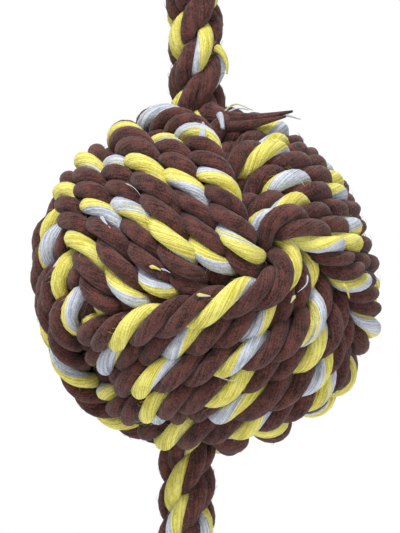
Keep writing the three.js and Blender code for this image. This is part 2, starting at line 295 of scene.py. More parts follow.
def soft_bends(line: np.ndarray, steps: int) -> np.ndarray:
    """Rounds a line's corners off with a cubic B-spline that keeps both ends.

    Args:
        line: The line's points.
        steps: How many points each of its stretches gets.

    Returns:
        The rounded line.
    """
    first, last = 2 * line[0] - line[1], 2 * line[-1] - line[-2]
    nodes = np.vstack([first, line, last])
    share = np.linspace(0.0, 1.0, steps, endpoint=False)[:, None]
    weights = (
        (1 - share) ** 3 / 6,
        (3 * share**3 - 6 * share**2 + 4) / 6,
        (-3 * share**3 + 3 * share**2 + 3 * share + 1) / 6,
        share**3 / 6,
    )
    stretches = [
        sum(weight * nodes[i + k] for k, weight in enumerate(weights)) for i in range(len(nodes) - 3)
    ]
    return np.vstack([*stretches, line[-1:]])


@dataclass
class Lines:
    """Lines side by side, each with a frame that is carried along it without twisting.

    Attributes:
        points: Points, as line, place along it, and x, y, z.
        tangent: The line's direction at each point.
        normal: One direction square to it.
        binormal: The direction square to both.
        along: The distance from the line's start.
    """

    points: np.ndarray
    tangent: np.ndarray
    normal: np.ndarray
    binormal: np.ndarray
    along: np.ndarray

    @classmethod
    def through(cls, points: np.ndarray) -> "Lines":
        """Works out the directions and the distance along each line.

        Args:
            points: Points, as line, place along it, and x, y, z.

        Returns:
            The lines.
        """
        tangent = unit(np.gradient(points, axis=1))
        normals = np.empty_like(points)
        normal = np.zeros_like(tangent[:, 0])
        normal[np.arange(len(normal)), np.argmin(np.abs(tangent[:, 0]), axis=1)] = 1.0
        for i in range(points.shape[1]):
            ahead = tangent[:, i]
            normal = unit(normal - ahead * (normal * ahead).sum(axis=1, keepdims=True))
            normals[:, i] = normal
        gaps = np.linalg.norm(np.diff(points, axis=1), axis=2)
        along = np.concatenate([np.zeros((len(gaps), 1)), np.cumsum(gaps, axis=1)], axis=1)
        return cls(points, tangent, normals, np.cross(tangent, normals), along)

    def part(self, first: int, last: int) -> "Lines":
        """Takes a stretch of the lines, from one place to another, with its frames as they were."""
        every = (self.points, self.tangent, self.normal, self.binormal, self.along)
        return Lines(*(values[:, first : last + 1] for values in every))

    def ring(self, line: int, angle: np.ndarray, reach: np.ndarray | float) -> np.ndarray:
        """Sets points round one line.

        Args:
            line: The line's place.
            angle: Angles round it, as point along the line and point round it.
            reach: Distances from it, for each point or for all.

        Returns:
            The points, as point along the line, point round it, and x, y, z.
        """
        sideways = self.normal[line][:, None] * (np.cos(angle) * reach)[..., None]
        upward = self.binormal[line][:, None] * (np.sin(angle) * reach)[..., None]
        return self.points[line][:, None] + sideways + upward


@dataclass(frozen=True)
class Make:
    """How a rope is laid from three strands.

    Attributes:
        radius: The rope's radius.
        crease: How deep it is creased between two strands, as a share of its radius.
        pitch: The length of rope in which a strand comes round once.
        sides: Sides of each strand.
        hairs_per_mm: Loose fibres on each millimetre of rope.
        hair_length: Their least and greatest length.
    """

    radius: float
    crease: float
    pitch: float
    sides: int
    hairs_per_mm: float
    hair_length: tuple[float, float]

    def reach(self, across: np.ndarray) -> np.ndarray:
        """Gives the section's reach, as a share of its radius, from -1 at one crease to 1 at the next."""
        return 1 - self.crease * np.abs(across) ** SECTION_POWER

    def facing_lay(self, lines: Lines, line: int, places: tuple[int, ...]) -> np.ndarray:
        """Lays the strands so that the middle one, the yellow one, faces the camera at given places.

        Args:
            lines: The ropes' lines.
            line: The rope's place among them.
            places: Distances along the rope.

        Returns:
            The angle of the first strand at each point.
        """
        along = lines.along[line]
        laid = Lay.S.value * TURN * along / self.pitch + LAY_WANDER * wander(along, LAY_WAVES)
        facing = np.arctan2(-lines.binormal[line, :, 1], -lines.normal[line, :, 1])
        marks = np.searchsorted(along, places)
        wanted = np.unwrap((facing - laid)[marks]) - THIRDS[1]
        return laid + np.interp(along, along[marks], wanted)


@dataclass(frozen=True)
class LaidRopes:
    """Ropes of three strands each, side by side.

    Attributes:
        make: How they are laid.
        lines: The ropes' lines.
        angle: The angle of each rope's first strand at each point.
        lots: A number between 0 and 1 for each strand, by which its cotton differs from the rest.
    """

    make: Make
    lines: Lines
    angle: np.ndarray
    lots: tuple[float, ...]

    def part(self, first: int, last: int) -> "LaidRopes":
        """Takes a stretch of the ropes, from one place to another."""
        return replace(self, lines=self.lines.part(first, last), angle=self.angle[:, first : last + 1])


@dataclass
class Sweep:
    """Closed tubes along lines, gathered for one mesh.

    Attributes:
        points: The corners of each tube.
        faces: The sides of each tube.
        caps: The two ends of each tube.
        lay_uv: How far along and round its line each corner of a side lies.
        tones: What each corner's cotton is.
        lots: By how much each corner's cotton differs from the rest.
        count: The number of corners so far.
    """

    points: list[np.ndarray] = field(default_factory=list)
    faces: list[np.ndarray] = field(default_factory=list)
    caps: list[np.ndarray] = field(default_factory=list)
    lay_uv: list[np.ndarray] = field(default_factory=list)
    tones: list[np.ndarray] = field(default_factory=list)
    lots: list[np.ndarray] = field(default_factory=list)
    count: int = 0

    def add_round(
        self, lines: Lines, sides: int, radius: np.ndarray, tones: list[Tone], lots: list[float]
    ) -> None:
        """Adds one round tube for each line.

        Args:
            lines: The lines.
            sides: Sides of each tube.
            radius: The tube's radius, for each line and point or for all.
            tones: What each line is spun from.
            lots: A number between 0 and 1 for each line, by which its cotton differs from the rest.
        """
        turns = np.arange(sides + 1) / sides
        for line, width in enumerate(np.broadcast_to(radius, lines.along.shape)):
            rings = lines.ring(line, TURN * turns[:-1], width[:, None])
            self._tube(rings, lines.along[line], turns, tones[line], lots[line])

    def add_laid(self, ropes: LaidRopes, seed: int) -> None:
        """Adds the strands of laid ropes, pressed against each other into thirds of the rope.

        Args:
            ropes: The ropes.
            seed: For the random places of their loose fibres.
        """
        across = np.linspace(-STRAND_OVERLAP, STRAND_OVERLAP, ropes.make.sides - 1)
        side = np.append(across * TURN / 6, 0.0)
        reach = np.append(ropes.make.reach(across), STRAND_HEART)
        turns = 0.5 + np.append(across, [0.0, across[0]]) * SEEN_SHARE / 2
        for strand, lot in enumerate(ropes.lots):
            line, third = divmod(strand, 3)
            along = ropes.lines.along[line]
            middle = ropes.angle[line] + THIRDS[third]
            swell = 1 + STRAND_SWELL * wander(along, SWELL_WAVES, SWELL_SHIFT * strand)
            size = (ropes.make.radius * swell)[:, None] * reach
            rings = ropes.lines.ring(line, middle[:, None] + side, size)
            self._tube(rings, along, turns, STRAND_TONES[third], lot)
        self._add_hairs(ropes, seed)

    def _add_hairs(self, ropes: LaidRopes, seed: int) -> None:
        """Scatters short loose fibres over laid ropes, each of the cotton that it stands on.

        Args:
            ropes: The ropes.
            seed: For their random places.
        """
        chance = np.random.default_rng(seed)
        make, lines = ropes.make, ropes.lines
        share = np.linspace(0.0, 1.0, HAIR_STEPS)
        radius = HAIR_RADIUS * (1 - HAIR_TAPER * share)
        for line, stretch in enumerate(lines.along):
            count = int(make.hairs_per_mm * (stretch[-1] - stretch[0]))
            at = chance.integers(HAIR_END_STEPS, len(stretch) - HAIR_END_STEPS, count)
            turn = chance.uniform(0.0, TURN, count)
            thirds = (turn - ropes.angle[line, at]) * 3 / TURN
            strand = np.rint(thirds).astype(int)
            reach = make.radius * make.reach((thirds - strand) * 2) - HAIR_ROOT
            normal, binormal = lines.normal[line, at], lines.binormal[line, at]
            outward = swing(normal, binormal, turn)
            slant = chance.uniform(-HAIR_SLANT, HAIR_SLANT, count)
            heading = swing(lines.tangent[line, at], swing(binormal, -normal, turn), slant)
            run = chance.uniform(*make.hair_length, count)[:, None] * share
            lift = chance.uniform(*HAIR_LIFT, count)[:, None] * np.sin(share * TURN * HAIR_ARCH)
            root = lines.points[line, at] + outward * reach[:, None]
            paths = root[:, None] + heading[:, None] * run[..., None] + outward[:, None] * lift[..., None]
            tones = [STRAND_TONES[place % 3] for place in strand]
            lots = list(chance.uniform(size=count))
            self.add_round(Lines.through(paths), HAIR_SIDES, radius, tones, lots)

    def _tube(self, rings: np.ndarray, along: np.ndarray, turns: np.ndarray, tone: Tone, lot: float) -> None:
        """Adds one closed tube through rings of points.

        Args:
            rings: Points, as ring, place round it, and x, y, z.
            along: How far along its line each ring stands.
            turns: How far round the strand each of a ring's points lies, in turns, and again the first one.
            tone: What it is spun from.
            lot: A number between 0 and 1.
        """
        steps, sides = rings.shape[:2]
        ring, side = np.meshgrid(np.arange(steps - 1), np.arange(sides), indexing="ij")
        base, next_side = ring * sides, (side + 1) % sides
        quads = np.stack([base + side, base + next_side, base + sides + next_side, base + sides + side], -1)
        u = np.stack([along[ring], along[ring], along[ring + 1], along[ring + 1]], -1)
        v = np.stack([turns[side], turns[side + 1], turns[side + 1], turns[side]], -1)
        self.points.append(rings.reshape(-1, 3))
        self.faces.append(quads.reshape(-1, 4) + self.count)
        self.caps.append(self.count + np.arange(sides)[::-1])
        self.caps.append(self.count + (steps - 1) * sides + np.arange(sides))
        self.lay_uv.append(np.stack([u, v], -1).reshape(-1, 2))
        self.tones.append(np.full(steps * sides, tone.value))
        self.lots.append(np.full(steps * sides, lot))
        self.count += steps * sides

    def piece(self, name: str, cotton: bpy.types.Material, slot: str = "brown_cotton") -> bpy.types.Object:
        """Makes the gathered tubes into an object, with their ends closed.

        Args:
            name: The object's name.
            cotton: Its material.
            slot: Not used.

        Returns:
            The new object, linked to the scene.
        """
        points = in_frame(np.concatenate(self.points))
        quads = np.concatenate(self.faces)
        mesh = bpy.data.meshes.new(name)
        sizes = np.concatenate([np.full(len(quads), 4), [len(cap) for cap in self.caps]])
        corners = np.concatenate([quads.ravel(), *self.caps])
        mesh.vertices.add(len(points))
        mesh.vertices.foreach_set("co", points.ravel())
        mesh.loops.add(len(corners))
        mesh.loops.foreach_set("vertex_index", corners.astype(np.int32))
        mesh.polygons.add(len(sizes))
        mesh.polygons.foreach_set("loop_start", np.concatenate([[0], np.cumsum(sizes)[:-1]]).astype(np.int32))
        mesh.polygons.foreach_set("use_smooth", np.ones(len(sizes), dtype=bool))
        uv = np.zeros((len(corners), 2))
        uv[: quads.size] = np.concatenate(self.lay_uv)
        layer = mesh.uv_layers.new(name="lay")
        layer.data.foreach_set("uv", uv.ravel())
        for label, values in (("tone", self.tones), ("lot", self.lots)):
            attribute = mesh.attributes.new(label, "FLOAT", "POINT")
            attribute.data.foreach_set("value", np.concatenate(values))
        mesh.update(calc_edges=True)
        mesh.validate()
        mesh.materials.append(cotton)
        piece = placed(name, mesh)
        return piece


def linear(*screen: float) -> Colour:
    """Turns a colour as a screen shows it into the shader's linear one.

    Args:
        screen: Red, green and blue, from 0 to 255.

    Returns:
        The linear colour, fully opaque.
    """
    parts = (value / 255 for value in screen)
    lit = (part / 12.92 if part <= 0.04045 else ((part + 0.055) / 1.055) ** 2.4 for part in parts)
    return (*lit, 1.0)


def matte(label: str, roughness: float) -> tuple[bpy.types.Material, bpy.types.Node]:
    """Makes a material.

    Args:
        label: Its name.
        roughness: Its roughness.

    Returns:
        The material and its shader.
    """
    material = bpy.data.materials.new(label)
    material.use_nodes = True
    shader = material.node_tree.nodes["Principled BSDF"]
    shader.inputs["Roughness"].default_value = roughness
    return material, shader


@dataclass
class Wiring:
    """Adds nodes to a tree and links them.

    Attributes:
        tree: The node tree.
    """

    tree: bpy.types.NodeTree

    def node(self, kind: str, *values: object, **settings: object) -> bpy.types.Node:
        """Adds a node.

        Args:
            kind: The node's type.
            values: What its first inputs are fed.
            settings: Its properties.

        Returns:
            The node.
        """
        node = self.tree.nodes.new(kind)
        for name, value in settings.items():
            setattr(node, name, value)
        for socket, value in zip(node.inputs, values):
            self.feed(socket, value)
        return node

    def feed(self, socket: bpy.types.NodeSocket, value: object) -> None:
        """Links an input to an output, or sets its value.

        Args:
            socket: The input.
            value: An output, a number, a colour or a vector.
        """
        if isinstance(value, bpy.types.NodeSocket):
            self.tree.links.new(value, socket)
        else:
            socket.default_value = value

    def math(self, operation: str, *values: object) -> bpy.types.NodeSocket:
        """Adds a Math node and gives its result."""
        return self.node("ShaderNodeMath", *values, operation=operation).outputs[0]

    def mix(self, share: object, first: object, second: object) -> bpy.types.NodeSocket:
        """Mixes two colours.

        Args:
            share: How much of the second one.
            first: A colour.
            second: A colour.

        Returns:
            The mixed colour.
        """
        node = self.node("ShaderNodeMix", share, data_type="RGBA")
        self.feed(node.inputs[6], first)
        self.feed(node.inputs[7], second)
        return node.outputs[2]

    def weigh(self, *shares: tuple[object, float]) -> bpy.types.NodeSocket:
        """Adds values up, each times its weight.

        Args:
            shares: Each value and its weight.

        Returns:
            The sum.
        """
        total = 0.0
        for value, weight in shares:
            total = self.math("MULTIPLY_ADD", value, weight, total)
        return total

    def ramp(self, value: object, low: object, high: object, falls: bool = False) -> bpy.types.NodeSocket:
        """Turns a value into a share that goes smoothly from 0 at low to 1 at high, or falls from 1 to 0."""
        scale = (value, low, high, float(falls), float(not falls))
        return self.node("ShaderNodeMapRange", *scale, interpolation_type="SMOOTHSTEP").outputs[0]

    def noise(self, vector: object, seed: object, scale: float, detail: float) -> bpy.types.NodeSocket:
        """Reads a noise texture at a vector. The seed changes the whole pattern."""
        inputs = (vector, seed, scale, detail)
        return self.node("ShaderNodeTexNoise", *inputs, noise_dimensions="4D").outputs["Fac"]

    def read(self, attribute: str) -> bpy.types.NodeSocket:
        """Reads one of the mesh's own attributes."""
        return self.node("ShaderNodeAttribute", attribute_name=attribute).outputs["Fac"]

    def relief(self, shader: bpy.types.Node, height: object, strength: float, depth: float) -> None:
        """Gives a shader a fine relief.

        Args:
            shader: The shader.
            height: The relief's height, from 0 to 1.
            strength: How much of it is used.
            depth: How deep it is, in metres.
        """
        bump = self.node("ShaderNodeBump")
        for label, value in (("Strength", strength), ("Distance", depth), ("Height", height)):
            self.feed(bump.inputs[label], value)
        self.feed(shader.inputs["Normal"], bump.outputs["Normal"])


@dataclass(frozen=True)
class FibreGroup:
    """The shared pattern of a strand of soft cotton: fine streaks that run along it.

    Attributes:
        label: The node group's name.
        strand_radius: Of the usual strand, in millimetres, for the streaks' width.
        streak_width: In millimetres.
        streak_length: In millimetres.
        drift_scale: Of the slow wandering of the edge between yellow and grey, as a share of the streaks'.
        edge_drift: How far that edge wanders slowly, in turns round the strand.
        edge_fray: How far it follows the streaks.
        edge_width: How wide it is.
    """

    label: str = "cotton_fibres"
    strand_radius: float = 3.0
    streak_width: float = 0.34
    streak_length: float = 7.0
    drift_scale: float = 0.28
    edge_drift: float = 0.3
    edge_fray: float = 0.07
    edge_width: float = 0.05

    def build(self) -> bpy.types.NodeTree:
        """Makes the node group.

        Returns:
            The group, with the inputs Twist and Pale Share and the outputs Streak and Pale.
        """
        tree = bpy.data.node_groups.new(self.label, "ShaderNodeTree")
        for name in ("Twist", "Pale Share"):
            tree.interface.new_socket(name, in_out="INPUT", socket_type="NodeSocketFloat")
        for name in ("Streak", "Pale"):
            tree.interface.new_socket(name, in_out="OUTPUT", socket_type="NodeSocketFloat")
        w = Wiring(tree)
        given = w.node("NodeGroupInput")
        result = w.node("NodeGroupOutput")
        parts = w.node("ShaderNodeSeparateXYZ", w.node("ShaderNodeUVMap", uv_map="lay").outputs[0])
        along, round_strand = parts.outputs[0], parts.outputs[1]
        lot = w.read("lot")
        seed = w.math("MULTIPLY", lot, SEED_STEP)
        turned = w.math("MULTIPLY_ADD", along, given.outputs["Twist"], round_strand)
        angle = w.math("MULTIPLY", turned, TURN)
        across = self.strand_radius / self.streak_width
        sides = [w.math("MULTIPLY", w.math(wave, angle), across) for wave in ("COSINE", "SINE")]
        upward = w.math("DIVIDE", along, self.streak_length)
        ring = w.node("ShaderNodeCombineXYZ", *sides, upward).outputs[0]
        streak = w.noise(ring, seed, 1.0, detail=3.0)
        drift = w.noise(ring, w.math("ADD", seed, SEED_SHIFT), self.drift_scale, detail=1.0)
        ragged = w.math("MULTIPLY_ADD", w.math("SUBTRACT", drift, 0.5), self.edge_drift, turned)
        ragged = w.math("MULTIPLY_ADD", w.math("SUBTRACT", streak, 0.5), self.edge_fray, ragged)
        place = w.math("FRACT", w.math("ADD", ragged, lot))
        rise = w.ramp(place, 0.0, self.edge_width)
        pale_end = given.outputs["Pale Share"]
        fall = w.ramp(place, w.math("SUBTRACT", pale_end, self.edge_width), pale_end, falls=True)
        w.feed(result.inputs["Streak"], streak)
        w.feed(result.inputs["Pale"], w.math("MULTIPLY", rise, fall))
        return tree


@dataclass(frozen=True)
class LaidCotton:
    """The toy's cotton: brown strands, and strands of yellow and pale grey side by side.

    Attributes:
        label: The material's name.
        brown: The brown cotton where it is lightest.
        deep_brown: And where it is darkest.
        yellow: The yellow cotton.
        deep_yellow: Its darker streaks.
        pale: The grey cotton.
        deep_pale: Its darker streaks.
        twist: Turns of the fibres in a millimetre of strand.
        pale_share: How much of a light strand is grey.
        blotch_scale: Of the large uneven patches.
        felt_scale: Of the matted fibres.
        fibre_range: Between which values the streaks and the felt change.
        brown_weights: What streaks, felt and blotches add to the brown strands' unevenness.
        brown_range: Between which values of that the brown changes.
        light_weights: What they add to the light strands'.
        light_range: Between which values of that the light colours change.
        bump_depth: How high the streaks stand, in metres.
        felt_height: How high the felt stands, as a share of them.
        bump_strength: How much of this relief is used.
        roughness: The cotton's roughness.
        sheen: How much soft light its nap gives back.
        sheen_roughness: How wide that light spreads.
        specular: How much it shines.
    """

    label: str = "laid_cotton"
    brown: Colour = linear(116, 67, 60)
    deep_brown: Colour = linear(22, 10, 9)
    yellow: Colour = linear(255, 248, 140)
    deep_yellow: Colour = linear(196, 180, 34)
    pale: Colour = linear(230, 236, 246)
    deep_pale: Colour = linear(146, 154, 172)
    twist: float = 0.007
    pale_share: float = 0.4
    blotch_scale: float = 330.0
    felt_scale: float = 2300.0
    fibre_range: tuple[float, float] = (0.3, 0.7)
    brown_weights: tuple[float, float, float] = (0.2, 0.22, 0.58)
    brown_range: tuple[float, float] = (0.25, 0.75)
    light_weights: tuple[float, float, float] = (0.45, 0.15, 0.4)
    light_range: tuple[float, float] = (0.15, 0.75)
    bump_depth: float = 0.0005
    felt_height: float = 0.5
    bump_strength: float = 0.6
    roughness: float = 0.9
    sheen: float = 0.15
    sheen_roughness: float = 0.6
    specular: float = 0.2

    def build(self, fibres: bpy.types.NodeTree) -> bpy.types.Material:
        """Makes the material.

        Args:
            fibres: The shared node group.

        Returns:
            The material.
        """
        material, cotton = matte(self.label, self.roughness)
        w = Wiring(material.node_tree)
        group = w.node("ShaderNodeGroup", node_tree=fibres)
        group.inputs["Twist"].default_value = self.twist
        group.inputs["Pale Share"].default_value = self.pale_share
        tone = w.read("tone")
        place = w.node("ShaderNodeTexCoord").outputs["Object"]
        seed = w.math("MULTIPLY", w.read("lot"), BLOTCH_SEED_STEP)
        blotch = w.noise(place, seed, self.blotch_scale, detail=3.0)
        felt = w.ramp(w.noise(place, seed, self.felt_scale, detail=2.0), *self.fibre_range)
        kinds = (w.ramp(group.outputs["Streak"], *self.fibre_range), felt, blotch)
        rough = w.ramp(w.weigh(*zip(kinds, self.brown_weights)), *self.brown_range)
        sleek = w.ramp(w.weigh(*zip(kinds, self.light_weights)), *self.light_range)
        brown = w.mix(rough, self.deep_brown, self.brown)
        yellow = w.mix(sleek, self.deep_yellow, self.yellow)
        pale = w.mix(sleek, self.deep_pale, self.pale)
        light = w.mix(group.outputs["Pale"], yellow, pale)
        margin = Tone.PALE.value / 2
        light = w.mix(w.math("COMPARE", tone, Tone.PALE.value, margin / 2), light, pale)
        w.feed(cotton.inputs["Base Color"], w.mix(w.math("GREATER_THAN", tone, margin), brown, light))
        cotton.inputs["Sheen Weight"].default_value = self.sheen
        cotton.inputs["Sheen Roughness"].default_value = self.sheen_roughness
        cotton.inputs["Specular IOR Level"].default_value = self.specular
        height = w.math("MULTIPLY_ADD", felt, self.felt_height, group.outputs["Streak"])
        w.relief(cotton, height, self.bump_strength, self.bump_depth)
        return material


@dataclass(frozen=True)
class PackedCotton:
    """The core's filling, which hardly shows between the turns. Its brown is painted dark: partly the
    filling's own brown, partly painted shade for the shadow inside the winding.

    Attributes:
        label: The material's name.
        light: Its lighter tufts.
        dark: Its darker tufts.
        tuft_range: Between which values of the tufts' pattern the colour changes.
        tuft_scale: The pattern's scale.
        roughness: The filling's roughness.
        bump_strength: How much of its relief is used.
        bump_depth: How high the tufts stand, in metres.
    """

    label: str = "packed_cotton_painted_shade"
    # Both colours are the filling's brown made darker as painted shade, for the shadow inside the winding.
    light: Colour = linear(60, 38, 38)
    dark: Colour = linear(28, 16, 17)
    tuft_range: tuple[float, float] = (0.3, 0.7)
    tuft_scale: float = 420.0
    roughness: float = 0.95
    bump_strength: float = 0.8
    bump_depth: float = 0.0008

    def build(self) -> bpy.types.Material:
        """Makes the material.

        Returns:
            The material.
        """
        material, cotton = matte(self.label, self.roughness)
        w = Wiring(material.node_tree)
        tufts = w.noise(w.node("ShaderNodeTexCoord").outputs["Object"], 0.0, self.tuft_scale, detail=4.0)
        w.feed(cotton.inputs["Base Color"], w.mix(w.ramp(tufts, *self.tuft_range), self.dark, self.light))
        w.relief(cotton, tufts, self.bump_strength, self.bump_depth)
        return material


@dataclass(frozen=True)
class LooseYarn:
    """A yarn that has worked loose from the rope.

    Attributes:
        route: Its route, in millimetres from the ball's middle.
        root: Its radius where it leaves the rope.
        tip: Its radius at its tip.
        tone: What it is spun from.
        lot: A number between 0 and 1, by which its cotton differs from the rest.
        sides: Its sides.
        spline_steps: Points on each stretch of its rounded route.
        step: From one ring to the next.
        closing: How it narrows to its very root: the angle there, and its gain along the yarn.
    """

    route: tuple[tuple[float, float, float], ...]
    root: float
    tip: float
    tone: Tone
    lot: float = 0.5
    sides: int = 8
    spline_steps: int = 8
    step: float = 0.6
    closing: tuple[float, float] = (0.3, 9.0)

    def add_to(self, sweep: Sweep) -> None:
        """Adds the yarn to a mesh.

        Args:
            sweep: The tubes of that mesh.
        """
        line = even_steps(soft_bends(np.array(self.route), self.spline_steps), self.step)
        share = np.linspace(0.0, 1.0, len(line))
        first, gain = self.closing
        closed = np.sin(np.minimum(share * gain + first, TURN / 4))
        radius = (self.root + (self.tip - self.root) * share) * closed
        sweep.add_round(Lines.through(line[None]), self.sides, radius[None], [self.tone], [self.lot])


@dataclass(frozen=True)
class Wisp:
    """A short yarn that lies on the ball, as the camera sees it.

    Attributes:
        route: Its ends and its middle, in millimetres to the right of the ball's middle and above it.
        radius: Its radius.
        tone: What it is spun from.
        reach: How far it lies from the ball's middle.
        tip_share: Its tip's radius, as a share of the rest's.
    """

    route: tuple[tuple[float, float], ...]
    radius: float
    tone: Tone
    reach: float = 46.4
    tip_share: float = 0.2

    def yarn(self) -> LooseYarn:
        """Lays it on the ball.

        Returns:
            The yarn.
        """
        across, up = np.array(self.route).T
        depth = np.sqrt(self.reach**2 - across**2 - up**2)
        nearer = 1 - depth / (Studio.distance / MM)
        route = np.stack([across * nearer, -depth, up * nearer], axis=1)
        return LooseYarn(tuple(map(tuple, route)), self.radius, self.radius * self.tip_share, self.tone)


# The tuft that stands off the upper rope.
TUFT_ROUTE = ((0.5, -3.0, 60.5), (2.9, -3.2, 59.3), (4.4, -3.2, 57.2), (5.0, -3.0, 54.8), (4.9, -2.8, 52.8))
ROPE_TUFT = LooseYarn(TUFT_ROUTE, root=1.4, tip=0.2, tone=Tone.YELLOW, lot=0.15)

# The loose strand end beside it, on the ball: two brown strands, one over the other, and their yarns.
OVER_ROUTE = (
    (-2.0, -1.0, 44.0), (2.5, -6.5, 41.6), (7.0, -10.5, 40.8), (12.0, -12.3, 40.8), (17.6, -11.5, 42.0),
    (21.8, -9.5, 43.0),
)
UNDER_ROUTE = (
    (-1.0, -7.0, 37.5), (5.0, -12.5, 38.6), (11.0, -14.5, 39.4), (16.0, -13.5, 40.6), (20.0, -11.5, 41.6),
)
CURL_ROUTE = ((3.5, -9.0, 42.0), (6.2, -9.5, 45.2), (8.6, -10.0, 44.6), (11.5, -10.0, 43.2))
STRAND_END = (
    LooseYarn(OVER_ROUTE, 3.5, 0.3, Tone.BROWN, 0.2),
    LooseYarn(UNDER_ROUTE, 2.5, 0.3, Tone.BROWN, 0.8),
    LooseYarn(((16.0, -11.0, 42.2), (19.5, -10.5, 42.3), (23.8, -10.0, 40.9)), 0.55, 0.15, Tone.PALE, 0.3),
    LooseYarn(CURL_ROUTE, 0.3, 0.1, Tone.YELLOW, 0.9),
    LooseYarn(((4.0, -9.5, 42.0), (7.4, -9.8, 44.2), (10.4, -10.4, 43.3)), 0.35, 0.12, Tone.PALE, 0.6),
    LooseYarn(((2.9, -12.5, 42.3), (3.5, -15.8, 40.6), (3.8, -16.6, 38.2)), 1.0, 0.5, Tone.PALE, 0.1),
)

# The wisps that stand out on the front of the ball.
WISPS = (
    Wisp(((-1.3, 36.2), (-1.3, 38.2), (-1.3, 40.4)), 1.4, Tone.YELLOW),
    Wisp(((-27.8, 16.1), (-26.7, 14.3), (-25.4, 13.0)), 0.55, Tone.PALE),
    Wisp(((-15.2, 3.1), (-13.8, 2.9), (-12.3, 2.1)), 0.6, Tone.YELLOW),
    Wisp(((-12.3, 2.5), (-11.0, 2.2), (-9.8, 1.4)), 0.3, Tone.PALE),
    Wisp(((-3.0, -4.2), (-1.4, -4.4), (0.6, -4.6)), 0.6, Tone.YELLOW),
    Wisp(((-15.0, 20.2), (-13.6, 19.5), (-12.5, 18.4)), 0.17, Tone.YELLOW),
    Wisp(((-21.5, 24.6), (-19.2, 23.8), (-17.6, 21.5)), 0.15, Tone.PALE),
    Wisp(((-1.6, 26.2), (-0.8, 25.9), (0.2, 25.3)), 0.3, Tone.YELLOW),
    Wisp(((25.7, 0.9), (26.0, -1.6), (23.2, -3.6)), 0.28, Tone.PALE),
    Wisp(((22.6, -4.4), (22.0, -5.2), (21.4, -6.4)), 0.6, Tone.YELLOW),
    Wisp(((35.0, -1.4), (36.2, -3.2), (36.6, -5.2)), 0.6, Tone.YELLOW),
    Wisp(((1.8, -25.2), (5.6, -26.8), (9.6, -26.6)), 0.15, Tone.YELLOW),
    Wisp(((23.0, 25.8), (24.2, 25.2), (25.0, 23.9)), 0.16, Tone.PALE),
)


@dataclass
class LooseEnds:
    """The ball's loose strand end and the wisps that lie on it.

    Attributes:
        cotton: Their material.
        name: The piece's name.
    """

    cotton: bpy.types.Material
    name: str = "loose_yarns"

    def build(self) -> bpy.types.Object:
        """Gathers them in one mesh.

        Returns:
            The piece.
        """
        sweep = Sweep()
        for yarn in (*STRAND_END, *(wisp.yarn() for wisp in WISPS)):
            yarn.add_to(sweep)
        piece = sweep.piece(self.name, self.cotton)
        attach(piece, Body.BALL.value)
        return piece


@dataclass
class BallRope:
    """The rope that is wound into the ball, in six pieces of three turns.

    Attributes:
        cotton: Its material.
        make: How it is laid.
        lots: By how much each strand's cotton differs from the rest.
        spline_steps: Points on each stretch of its rounded route.
        step: From one ring of a strand to the next.
        bands: How many pieces it is made in.
        seed: For the first piece's loose fibres.
        name: The first words of each piece's name.
    """

    cotton: bpy.types.Material
    make: Make = Make(4.9, 0.46, 21.5, sides=14, hairs_per_mm=3.6, hair_length=(0.8, 2.8))
    lots: tuple[float, ...] = (0.1, 0.4, 0.7)
    spline_steps: int = 8
    step: float = 1.5
    bands: int = 6
    seed: int = 11
    name: str = "ball_rope"

    def build(self) -> list[bpy.types.Object]:
        """Lays the rope's strands along its route.

        Returns:
            The pieces, one after the other along the rope.
        """
        route = middle_line("ball_winding", UPPER_HINGE)
        line = even_steps(soft_bends(route, self.spline_steps), self.step)
        lines = Lines.through(line[None])
        log.info("%s: %.0f mm long", self.name, lines.along[0, -1])
        angle = self.make.facing_lay(lines, 0, BALL_PATCHES)[None]
        rope = LaidRopes(self.make, lines, angle, self.lots)
        cuts = np.linspace(0, len(line) - 1, self.bands + 1).astype(int)
        pieces = []
        for band, (first, last) in enumerate(zip(cuts[:-1], cuts[1:])):
            sweep = Sweep()
            sweep.add_laid(rope.part(first, last), self.seed + band)
            piece = sweep.piece(f"{self.name}_{band + 1}", self.cotton)
            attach(piece, Body.BALL.value)
            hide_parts("ball_winding")
            pieces.append(piece)
        return pieces


